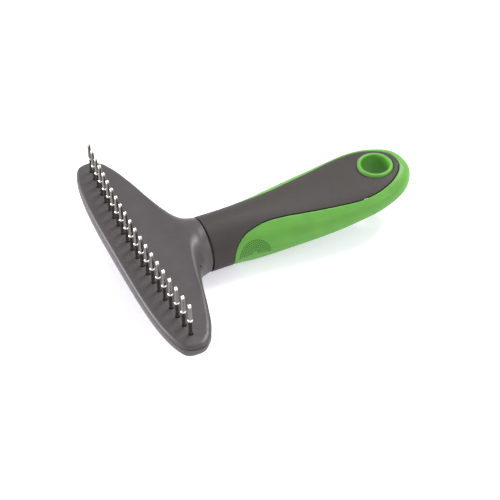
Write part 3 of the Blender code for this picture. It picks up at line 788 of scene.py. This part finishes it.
def pin_names():
    """Names of the pins' CAD nodes, which are also their bodies."""
    return sorted(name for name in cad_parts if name.startswith("pin_") and name[4:].isdigit())


def pin_place(name):
    """(x, y) of a pin's axis."""
    low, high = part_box(name)
    return ((low.x + high.x) / 2.0, (low.y + high.y) / 2.0)


def ring_distance(points, places):
    """Distance in plan from the nearest of several places."""
    best = np.full(len(points), np.inf)
    for x, y in places:
        best = np.minimum(best, np.hypot(points[:, 0] - x, points[:, 1] - y))
    return best


def smooth_max(first, second, blend):
    """The larger of two distances, rounded over where they are within blend of each other."""
    near = np.maximum(blend - np.abs(first - second), 0.0)
    return np.maximum(first, second) + near * near / (4.0 * blend)


def surface_distance(points, triangles, level):
    """A level's values as distances along the skin: each is divided by its slope there."""
    corners = points[triangles]
    rises = level[triangles]
    first, second = corners[:, 1] - corners[:, 0], corners[:, 2] - corners[:, 0]
    normal = np.cross(first, second)
    squared = np.maximum((normal * normal).sum(axis=1), 1e-24)[:, None]
    steep = (rises[:, 1:2] - rises[:, 0:1]) * np.cross(second, normal)
    steep = steep + (rises[:, 2:3] - rises[:, 0:1]) * np.cross(normal, first)
    slope = np.linalg.norm(steep / squared, axis=1)
    total = np.zeros(len(points))
    count = np.zeros(len(points))
    for k in range(3):
        np.add.at(total, triangles[:, k], slope)
        np.add.at(count, triangles[:, k], 1.0)
    return level / np.maximum(total / np.maximum(count, 1.0), LEAST_SLOPE)


def head_profile(chain):
    """How an open edge of the head is turned over: pin holes, screw recesses, long edges."""
    centre = sum((vert.co for vert in chain), Vector()) / len(chain)
    reach = max((vert.co - centre).length for vert in chain)
    if reach < PIN_HOLE_REACH:
        return rolled(PIN_HOLE_EDGE_R, PIN_HOLE_DEPTH)
    if reach < RECESS_REACH:
        depth = COVER_SEAT_Z - min(vert.co.z for vert in chain)
        return rolled(EDGE_R, max(depth, RECESS_LEAST_DEPTH), floor=RECESS_FLOOR)
    return rolled(EDGE_R, EDGE_DEPTH)


def make_head():
    """The head's shell and back cover, cut from one skin along the parting line."""
    points, triangles = head_skin()
    from_notch = np.hypot(points[:, 0] - COVER_NOTCH_X, points[:, 1])
    edge = PARTING_GAP / 2.0 + EDGE_R
    parting = smooth_max(points[:, 2] - RIM_Z, COVER_NOTCH_R - from_notch, NOTCH_BLEND)
    parting = surface_distance(points, triangles, parting)
    top_side = points[:, 2] > RIM_Z
    from_pins = ring_distance(points, [pin_place(name) for name in pin_names()])
    from_pins = np.where(top_side, from_pins - PIN_HOLE_R - PIN_HOLE_EDGE_R, 1.0)
    shell_level = np.minimum(parting - edge, from_pins)
    shell = skin_mesh("head_shell_skin", *clip(points, triangles, shell_level), head_profile)
    add_piece(
        "head_shell_skin", shell, HEAD_GREY, "tool", "head_grey", "head_shell", thickness=SKIN_T
    )
    from_screws = ring_distance(points, COVER_SCREW_XY)
    from_screws = np.where(top_side, 1.0, from_screws - RECESS_R - EDGE_R)
    cover_level = np.minimum(-parting - edge, from_screws)
    cover = skin_mesh("back_cover_skin", *clip(points, triangles, cover_level), head_profile)
    add_piece(
        "back_cover_skin", cover, HEAD_GREY, "tool", "head_grey", "back_cover", thickness=SKIN_T
    )


# ---------------------------------------------------------------- turned pieces

def turned_mesh(name, profile, steps, axis="Z", closed=False):
    """Turn a (radius, height) profile, top down its outer side, into a closed mesh."""
    shape = bmesh.new()
    rows = []
    for radius, height in profile:
        if radius < 1e-7:
            rows.append([shape.verts.new((0.0, 0.0, height))])
            continue
        row = []
        for k in range(steps):
            angle = 2.0 * math.pi * k / steps
            row.append(shape.verts.new((radius * math.cos(angle), radius * math.sin(angle), height)))
        rows.append(row)
    pairs = list(zip(rows, rows[1:]))
    if closed:
        pairs.append((rows[-1], rows[0]))
    for row, below in pairs:
        for k in range(steps):
            j = (k + 1) % steps
            corners = [row[k % len(row)], row[j % len(row)]]
            corners += [below[j % len(below)], below[k % len(below)]]
            corners = list(dict.fromkeys(corners))
            shape.faces.new(list(reversed(corners)))
    bmesh.ops.recalc_face_normals(shape, faces=shape.faces)
    if axis == "X":
        bmesh.ops.rotate(shape, verts=shape.verts, matrix=Matrix.Rotation(math.radians(90.0), 3, "Y"))
    mesh = bpy.data.meshes.new(name)
    shape.to_mesh(mesh)
    shape.free()
    mesh.shade_smooth()
    mesh.set_sharp_from_angle(angle=math.radians(50.0))
    return mesh


def arc(centre, radius, start, end, steps):
    """Points of an arc in a profile; angles in degrees from +radius towards +height."""
    points = []
    for i in range(steps + 1):
        angle = math.radians(start + (end - start) * i / steps)
        points.append((centre[0] + radius * math.cos(angle), centre[1] + radius * math.sin(angle)))
    return points


def pin_profile():
    """Rounded tip, slim cone, rounded collar with a hollow neck below it, plain stem."""
    tip = arc((0.0, PIN_TOP - PIN_TIP_R), PIN_TIP_R, 88.0, 8.0, 8)
    cone_end = PIN_COLLAR_Z + 0.75 * MM
    collar_centre = (PIN_COLLAR_R - PIN_COLLAR_EDGE_R, PIN_COLLAR_Z - 0.1 * MM)
    collar = arc(collar_centre, PIN_COLLAR_EDGE_R, 60.0, -80.0, 8)
    return [
        (0.0, PIN_TOP), *tip,
        (PIN_CONE_R, cone_end), (PIN_CONE_R + 0.04 * MM, cone_end - 0.15 * MM), *collar,
        (PIN_STEM_R + 0.03 * MM, PIN_COLLAR_Z - 0.75 * MM), (PIN_STEM_R, PIN_COLLAR_Z - 0.95 * MM),
        (PIN_STEM_R, PIN_FOOT), (PIN_HEAD_R, PIN_FOOT),
        (PIN_HEAD_R, PIN_FOOT - PIN_HEAD_H), (0.0, PIN_FOOT - PIN_HEAD_H),
    ]


def make_pins():
    """One turned mesh, shared by every pin and set up on its own axis."""
    mesh = turned_mesh("pin", pin_profile(), 36)
    mesh.materials.append(PIN_STEEL)
    for name in pin_names():
        x, y = pin_place(name)
        piece = bpy.data.objects.new(name + "_turned", mesh)
        bpy.context.scene.collection.objects.link(piece)
        piece.location = (x, y, FACE_Z)
        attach(piece, name)
        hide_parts(name)


def make_seam_ring():
    """The ring in the joint between neck and handle, edges bevelled; its near-black colour is painted
    shade of the gap in the joint.
    """
    low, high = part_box("seam_ring")
    centre = (low + high) / 2.0
    outer = (high.y - low.y) / 2.0
    half = (high.x - low.x) / 2.0
    inner = outer - SEAM_RING_T
    bevelled, shoulder = outer - SEAM_BEVEL, half - SEAM_BEVEL
    profile = [(inner, half), (bevelled, half), (outer, shoulder)]
    profile += [(outer, -shoulder), (bevelled, -half), (inner, -half)]
    mesh = turned_mesh("seam_ring_turned", profile, 96, axis="X", closed=True)
    piece = add_piece("seam_ring_turned", mesh, SEAM_SHADE, "tool", "seam_black", "seam_ring")
    piece.location = centre


def make_grommet():
    """The ring round the hanging hole, its two lips rolled over."""
    top, low = GROMMET_TOP_Z, GROMMET_BOTTOM_Z
    high_r, low_r = GROMMET_TOP_EDGE_R, GROMMET_LOW_EDGE_R
    inner = arc((HOLE_R + high_r, top - high_r), high_r, 180.0, 90.0, 8)
    outer = arc((GROMMET_LIP_R - high_r, top - high_r), high_r, 80.0, 0.0, 8)
    low_outer = arc((GROMMET_LIP_R - low_r, low + low_r), low_r, 0.0, -90.0, 6)
    low_inner = arc((HOLE_R + low_r, low + low_r), low_r, -90.0, -180.0, 6)
    under_lip, over_lip = top - GROMMET_LIP_H, low + GROMMET_LIP_H
    profile = [
        *inner, *outer, (GROMMET_LIP_R, under_lip), (GROMMET_R, under_lip),
        (GROMMET_R, over_lip), (GROMMET_LIP_R, over_lip), *low_outer, *low_inner,
    ]
    mesh = turned_mesh("hole_grommet_ring", profile, 96, closed=True)
    piece = add_piece(
        "hole_grommet_ring", mesh, GRIP_GREEN, "tool", "grip_green", "hang_hole_grommet"
    )
    piece.location = (HOLE_X, 0.0, 0.0)


def make_cover_screws():
    """Pan heads with a cross recess, seated in the back cover."""
    low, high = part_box("cover_screw_1")
    seat = COVER_SEAT_Z - SCREW_GAP
    tip, head_h = high.z - seat, seat - low.z
    profile = [(0.0, tip), (SCREW_SHAFT_R, tip - SCREW_POINT)]
    profile += [(SCREW_SHAFT_R, 0.0), (SCREW_HEAD_R, 0.0)]
    edge_centre = (SCREW_HEAD_R - SCREW_EDGE_R, -head_h + SCREW_EDGE_R)
    profile += arc(edge_centre, SCREW_EDGE_R, 0.0, -90.0, 5)
    profile.append((0.0, -head_h))
    for i, (x, y) in enumerate(COVER_SCREW_XY):
        name = "cover_screw_%d" % (i + 1)
        mesh = turned_mesh(name + "_turned", profile, 32)
        piece = add_piece(name + "_turned", mesh, SCREW_STEEL, "tool", "screw_steel", name)
        piece.location = (x, y, seat)
        cut_cross(piece, head_h, CROSS_TURN + CROSS_TURN_STEP * i)


def cut_cross(piece, head_h, turn):
    """Cut a cross recess into the underside of a screw's head."""
    shape = bmesh.new()
    for quarter in (0.0, 90.0):
        made = bmesh.ops.create_cube(shape, size=1.0)
        bmesh.ops.scale(shape, vec=CROSS_SIZE, verts=made["verts"])
        bmesh.ops.rotate(
            shape, verts=made["verts"], matrix=Matrix.Rotation(math.radians(turn + quarter), 3, "Z")
        )
        bmesh.ops.translate(shape, verts=made["verts"], vec=(0.0, 0.0, -head_h))
    mesh = bpy.data.meshes.new("cross")
    shape.to_mesh(mesh)
    shape.free()
    cutter = bpy.data.objects.new("cross", mesh)
    bpy.context.scene.collection.objects.link(cutter)
    cutter.location = piece.location
    cut = piece.modifiers.new("cross", "BOOLEAN")
    cut.object = cutter
    cut.use_self = True
    bpy.context.view_layer.update()
    graph = bpy.context.evaluated_depsgraph_get()
    done = bpy.data.meshes.new_from_object(piece.evaluated_get(graph))
    piece.modifiers.clear()
    piece.data = done
    bpy.data.objects.remove(cutter)


# ---------------------------------------------------------------- handle

def wrap_border():
    """The line on the handle's +Y side where the green wrap meets the grey."""
    front = smooth_line([(x, z) for x, z in reversed(WRAP_FRONT)])
    line = []
    for x, z in front:
        _, middle, half_height, _ = handle_section(x)
        z = max(z, middle - half_height)
        line.append((x, handle_side_y(x, z), z))
    for x, y in smooth_line(PANEL_POINTS):
        if x > WRAP_FRONT[0][0]:
            line.append((x, y, handle_top_z(x, y)))
    return np.array(line)


def wrap_level(points):
    """Distance of each point of the handle from the wrap's border, positive on the wrap."""
    mirrored = points * np.array([1.0, 0.0, 1.0]) + np.abs(points) * np.array([0.0, 1.0, 0.0])
    distance = distance_to_line(mirrored, wrap_border())
    panel = smooth_line(PANEL_POINTS)
    outline = np.vstack([panel, panel[::-1] * (1.0, -1.0)])
    on_panel = inside_outline(outline, points[:, 0], points[:, 1]) & (points[:, 2] > PANEL_LOW_Z)
    front = smooth_line(WRAP_FRONT)
    outline = np.vstack([front, [(front[-1][0], -FAR), (FAR, -FAR), (FAR, FAR), (front[0][0], FAR)]])
    behind = inside_outline(outline, points[:, 0], points[:, 2])
    return np.where(behind & ~on_panel, distance, -distance)


def core_profile(_chain):
    """Every open edge of the grip's grey core is turned over alike."""
    return rolled(EDGE_R, EDGE_DEPTH)


def wrap_profile(_chain):
    """Every open edge of the green wrap is turned over alike, with a softer radius."""
    return rolled(WRAP_EDGE_R, WRAP_EDGE_DEPTH)


def make_grip():
    """The grey core and the green wrap of the handle, cut from one skin."""
    points, triangles = handle_skin()
    level = wrap_level(points)
    from_hole = ring_distance(points, [(HOLE_X, 0.0)]) - GROMMET_LIP_R - GROMMET_GAP
    grey_level = np.minimum(-level - WRAP_GAP / 2.0, from_hole) - EDGE_R
    mesh = skin_mesh("grip_core_skin", *clip(points, triangles, grey_level), core_profile)
    add_piece("grip_core_skin", mesh, GRIP_GREY, "tool", "grip_grey", "handle_body", thickness=SKIN_T)
    green_level = np.minimum(level - WRAP_GAP / 2.0, from_hole) - WRAP_EDGE_R
    mesh = skin_mesh("grip_wrap_skin", *clip(points, triangles, green_level), wrap_profile)
    add_piece("grip_wrap_skin", mesh, GRIP_GREEN, "tool", "grip_green", "grip_wrap", thickness=SKIN_T)


def dot_places():
    """(x, z) of each dot of the fan on the grip's side: rings about one centre."""
    places = []
    for ring in range(DOT_RINGS):
        radius = DOT_INNER_R + DOT_PITCH * ring
        count = round(math.radians(DOT_SPAN) * radius / DOT_PITCH)
        for i in range(count + 1):
            angle = math.radians(DOT_START + DOT_SPAN * i / count)
            x = DOT_CENTRE[0] + radius * math.cos(angle)
            z = DOT_CENTRE[1] + radius * math.sin(angle)
            places.append((x, z))
    return places


def handle_side_normal(x, z):
    """Outward direction of the handle's +Y side at (x, z)."""
    step = 0.2 * MM
    along = Vector((2.0 * step, handle_side_y(x + step, z) - handle_side_y(x - step, z), 0.0))
    up = Vector((0.0, handle_side_y(x, z + step) - handle_side_y(x, z - step), 2.0 * step))
    return up.cross(along).normalized()


def make_dots():
    """Two fans of small raised dots, one on each side of the grip, coloured dark green as painted
    shade of small dimples.
    """
    shape = bmesh.new()
    for x, z in dot_places():
        y = handle_side_y(x, z)
        normal = handle_side_normal(x, z)
        for side in (1.0, -1.0):
            out = Vector((normal.x, side * normal.y, normal.z))
            turn = out.to_track_quat("Z", "Y").to_matrix().to_4x4()
            flat = Matrix.Diagonal((1.0, 1.0, DOT_HEIGHT / DOT_R, 1.0))
            place = Matrix.Translation((x, side * y, z)) @ turn @ flat
            bmesh.ops.create_icosphere(shape, subdivisions=2, radius=DOT_R, matrix=place)
    mesh = bpy.data.meshes.new("grip_dots")
    shape.to_mesh(mesh)
    shape.free()
    mesh.shade_smooth()
    add_piece("grip_dots", mesh, DOT_SHADE_GREEN, "tool", "grip_green")


def paint_inner_nodes():
    """Give the CAD nodes that stay their materials."""
    paints = {"pin_retainer": INNER_PLASTIC, "neck_plug": INNER_PLASTIC, "neck_screw": SCREW_STEEL}
    for i in range(4):
        paints["retainer_screw_%d" % (i + 1)] = SCREW_STEEL
    for name, material in paints.items():
        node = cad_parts[name]
        node.data.materials.clear()
        node.data.materials.append(material)


# ---------------------------------------------------------------- stage

CAMERA_PLACE = Vector((-202.6, -397.8, 426.2)) * MM
CAMERA_AZIMUTH = -26.0
CAMERA_ELEVATION = 44.0
CAMERA_LENS = 90.0
FLOOR_SIZE = 8.0
FLOOR_GAP = 0.1 * MM
FLOOR_TONE = (0.72, 0.72, 0.74)
FLOOR_GLOW_TONE = (0.93, 0.91, 1.0)
FLOOR_GLOW = 0.42
WORLD_TONE = (1.0, 0.985, 0.985)
WORLD_STRENGTH = 0.85
# Name, place, aim, size and watts of each soft light.
LIGHTS = (
    ("key", (0.68, 0.3, 0.9), (0.0, 0.0, 0.0), (0.5, 0.5), 12.0),
    ("left", (-0.78, 0.5, 0.3), (-0.07, 0.0, 0.02), (0.5, 0.35), 9.0),
    ("right", (0.5, -0.8, 0.6), (0.0, 0.0, 0.02), (0.6, 0.6), 4.0),
)


def make_camera():
    """A long lens that looks down on the tool from beside its head."""
    data = bpy.data.cameras.new("camera")
    data.lens = CAMERA_LENS
    data.sensor_width = 36.0
    data.clip_start = 0.01
    camera = bpy.data.objects.new("camera", data)
    bpy.context.scene.collection.objects.link(camera)
    camera.location = CAMERA_PLACE
    camera.rotation_euler = (
        math.radians(90.0 - CAMERA_ELEVATION), 0.0, math.radians(CAMERA_AZIMUTH)
    )
    bpy.context.scene.camera = camera


def make_floor():
    """A plain pale floor that glows a little, so that only soft shadows show on it."""
    shape = bmesh.new()
    bmesh.ops.create_grid(shape, x_segments=1, y_segments=1, size=FLOOR_SIZE / 2.0)
    mesh = bpy.data.meshes.new("floor")
    shape.to_mesh(mesh)
    shape.free()
    material, _, _, shader = new_material("floor_white", FLOOR_TONE, 0.9)
    shader.inputs["Emission Color"].default_value = (*FLOOR_GLOW_TONE, 1.0)
    shader.inputs["Emission Strength"].default_value = FLOOR_GLOW
    mesh.materials.append(material)
    floor = bpy.data.objects.new("floor", mesh)
    floor.location.z = -FLOOR_GAP
    bpy.context.scene.collection.objects.link(floor)


def add_light(name, place, aim, size, watts):
    """A soft rectangular light at a place, turned to its aim."""
    data = bpy.data.lights.new(name, "AREA")
    data.shape = "RECTANGLE"
    data.size, data.size_y = size
    data.energy = watts
    light = bpy.data.objects.new(name, data)
    bpy.context.scene.collection.objects.link(light)
    light.location = place
    light.rotation_euler = (Vector(aim) - Vector(place)).to_track_quat("-Z", "Y").to_euler()


def make_lights():
    """A bright even surround and the soft lights."""
    world = bpy.data.worlds.new("studio")
    world.use_nodes = True
    backdrop = world.node_tree.nodes["Background"]
    backdrop.inputs["Color"].default_value = (*WORLD_TONE, 1.0)
    backdrop.inputs["Strength"].default_value = WORLD_STRENGTH
    bpy.context.scene.world = world
    for settings in LIGHTS:
        add_light(*settings)
    bpy.context.scene.view_settings.view_transform = "Standard"


make_head()
make_pins()
make_seam_ring()
make_grommet()
make_cover_screws()
make_grip()
make_dots()
paint_inner_nodes()
make_camera()
make_floor()
make_lights()
